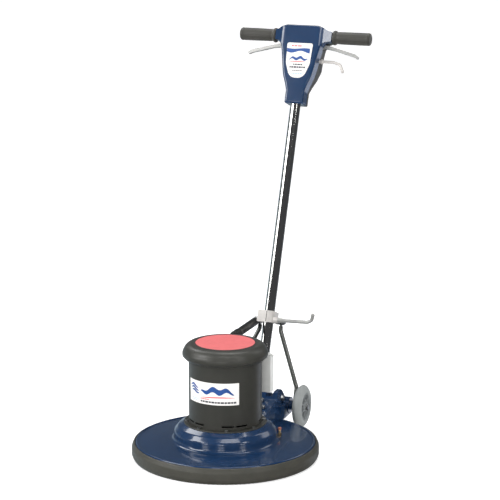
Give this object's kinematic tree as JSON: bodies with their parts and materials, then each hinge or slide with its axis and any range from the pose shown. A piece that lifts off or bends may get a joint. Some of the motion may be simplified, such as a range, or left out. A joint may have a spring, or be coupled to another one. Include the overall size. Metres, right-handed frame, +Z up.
{
  "type": "rotary floor machine",
  "caption": "Single-disc rotary floor machine: round deck with soft bumper, upright motor, geared pad drive, transport wheels and a tilting tube handle with twin trigger levers.",
  "frame": {"origin": "on the floor, on the common axis of the motor, spindle and brush", "axes": "+Z up; -Y is the front of the machine and the handle leans back towards +Y; +X is on the right of someone who faces the front of the machine"},
  "size_m": [0.54, 1.0063, 1.1694],
  "materials": {
    "blue_paint": "gloss enamel",
    "bumper_rubber": "satin moulded",
    "black_enamel": "satin enamel",
    "black_moulding": "satin moulded",
    "red_disc": "satin vinyl",
    "label_white": "printed vinyl",
    "chrome": "polished plate",
    "cast_silver": "tumbled die casting",
    "box_silver": "silver enamel",
    "zinc": "bright zinc plate",
    "strut_steel": "dull plated tube",
    "bare_iron": "as cast and machined",
    "bare_aluminium": "as cast and machined",
    "copper": "varnished winding",
    "brass": "turned",
    "wheel_grey": "moulded non-marking",
    "grip_vinyl": "matt dipped",
    "seal_rubber": "moulded",
    "red_plug": "moulded"
  },
  "bodies": {
    "base": {"deck_apron": "blue_paint", "bumper_ring": "bumper_rubber", "rear_yoke": "blue_paint", "yoke_bolts": "zinc", "motor_flange": "black_enamel", "flange_screws": "zinc", "motor_shell": "black_enamel", "stator_core": "bare_iron", "stator_windings": "copper", "motor_bearings": "zinc", "upper_end_bell": "bare_aluminium", "motor_cap": "black_moulding", "cap_disc": "red_disc", "drum_label": "label_white", "ring_gear": "bare_iron", "gear_case": "bare_aluminium", "gear_case_cover": "bare_aluminium", "spindle_bearing": "zinc", "spindle_seal": "seal_rubber", "capacitor_box": "box_silver", "capacitor_lid": "box_silver", "start_capacitor": "bare_aluminium", "solution_inlet": "brass", "inlet_plug": "red_plug", "wheel_axle": "zinc", "axle_caps": "zinc", "pivot_bolt": "zinc"},
    "rotor": {"motor_shaft": "zinc", "rotor_core": "bare_iron", "cooling_fan": "black_moulding", "sun_pinion": "zinc"},
    "spindle": {"spindle": "zinc", "planet_carrier": "bare_iron", "planet_pins": "zinc", "drive_hub": "bare_iron", "hub_bolt": "zinc"},
    "planet_1": {"planet_gear_1": "bare_iron"},
    "planet_2": {"planet_gear_2": "bare_iron"},
    "planet_3": {"planet_gear_3": "bare_iron"},
    "left_wheel": {"left_wheel": "wheel_grey"},
    "right_wheel": {"right_wheel": "wheel_grey"},
    "handle": {"handle_tube": "chrome", "head_front_cover": "blue_paint", "head_rear_cover": "black_moulding", "head_screws": "zinc", "handlebar": "zinc", "hand_grips": "grip_vinyl", "head_label": "label_white", "trigger_pins": "zinc", "trigger_switch": "black_moulding", "cord_gland": "black_moulding"},
    "left_trigger": {"left_trigger": "cast_silver"},
    "right_trigger": {"right_trigger": "cast_silver"},
    "upper_hook": {"upper_cord_hook": "cast_silver"},
    "clamp": {"tube_clamp": "cast_silver", "cross_bolt": "zinc"},
    "struts": {"tilt_struts": "strut_steel"},
    "lever": {"clamp_lever": "zinc", "lever_grip": "grip_vinyl"},
    "lower_hook": {"lower_cord_hook": "cast_silver"}
  },
  "joints": [
    {"name": "handle_tilt", "type": "hinge", "parent": "base", "child": "handle", "pos_m": [0, 0.2822, 0.1], "axis": [1, 0, 0], "range_deg": [-34, 21]},
    {"name": "clamp_slide", "type": "slide", "parent": "handle", "child": "clamp", "axis": [0, 0.3577, 0.9338], "range_m": [-0.0125, 0.0195]},
    {"name": "strut_swing", "type": "hinge", "parent": "clamp", "child": "struts", "pos_m": [0, 0.38596, 0.30601], "axis": [1, 0, 0], "range_deg": [-1.2, 1.8]},
    {"name": "lever_swing", "type": "hinge", "parent": "clamp", "child": "lever", "pos_m": [-0.045, 0.38596, 0.30601], "axis": [-1, 0, 0], "range_deg": [0, 60]},
    {"name": "lower_hook_turn", "type": "hinge", "parent": "clamp", "child": "lower_hook", "pos_m": [0.03, 0.36146, 0.31808], "axis": [1, 0, 0], "range_deg": [0, 180]},
    {"name": "upper_hook_turn", "type": "hinge", "parent": "handle", "child": "upper_hook", "pos_m": [0.06, 0.66503, 1.05998], "axis": [1, 0, 0], "range_deg": [0, 140]},
    {"name": "left_trigger_squeeze", "type": "hinge", "parent": "handle", "child": "left_trigger", "pos_m": [-0.06, 0.68149, 1.10293], "axis": [0, 0.9338, -0.3577], "range_deg": [0, 9], "stiffness_Nm_per_rad": 1.5, "springref_deg": -11.46},
    {"name": "right_trigger_squeeze", "type": "hinge", "parent": "handle", "child": "right_trigger", "pos_m": [0.06, 0.68149, 1.10293], "axis": [0, -0.9338, 0.3577], "range_deg": [0, 9], "stiffness_Nm_per_rad": 1.5, "springref_deg": -11.46},
    {"name": "left_wheel_spin", "type": "hinge", "parent": "base", "child": "left_wheel", "pos_m": [-0.127, 0.306, 0.075], "axis": [1, 0, 0], "continuous": true},
    {"name": "right_wheel_spin", "type": "hinge", "parent": "base", "child": "right_wheel", "pos_m": [0.127, 0.306, 0.075], "axis": [1, 0, 0], "continuous": true},
    {"name": "rotor_spin", "type": "hinge", "parent": "base", "child": "rotor", "pos_m": [0, 0, 0.2], "axis": [0, 0, 1], "continuous": true},
    {"name": "spindle_spin", "type": "hinge", "parent": "base", "child": "spindle", "pos_m": [0, 0, 0.04], "axis": [0, 0, 1], "continuous": true},
    {"name": "planet_1_spin", "type": "hinge", "parent": "spindle", "child": "planet_1", "pos_m": [0.0375, 0, 0.079], "axis": [0, 0, 1], "continuous": true},
    {"name": "planet_2_spin", "type": "hinge", "parent": "spindle", "child": "planet_2", "pos_m": [-0.01875, 0.03248, 0.079], "axis": [0, 0, 1], "continuous": true},
    {"name": "planet_3_spin", "type": "hinge", "parent": "spindle", "child": "planet_3", "pos_m": [-0.01875, -0.03248, 0.079], "axis": [0, 0, 1], "continuous": true}
  ],
  "couplings": [
    {"joint": "clamp_slide", "follows": "handle_tilt", "m_per_rad": -0.0315},
    {"joint": "strut_swing", "follows": "handle_tilt", "ratio": -0.045},
    {"joint": "spindle_spin", "follows": "rotor_spin", "ratio": 0.1},
    {"joint": "planet_1_spin", "follows": "rotor_spin", "ratio": -0.225},
    {"joint": "planet_2_spin", "follows": "rotor_spin", "ratio": -0.225},
    {"joint": "planet_3_spin", "follows": "rotor_spin", "ratio": -0.225}
  ]
}
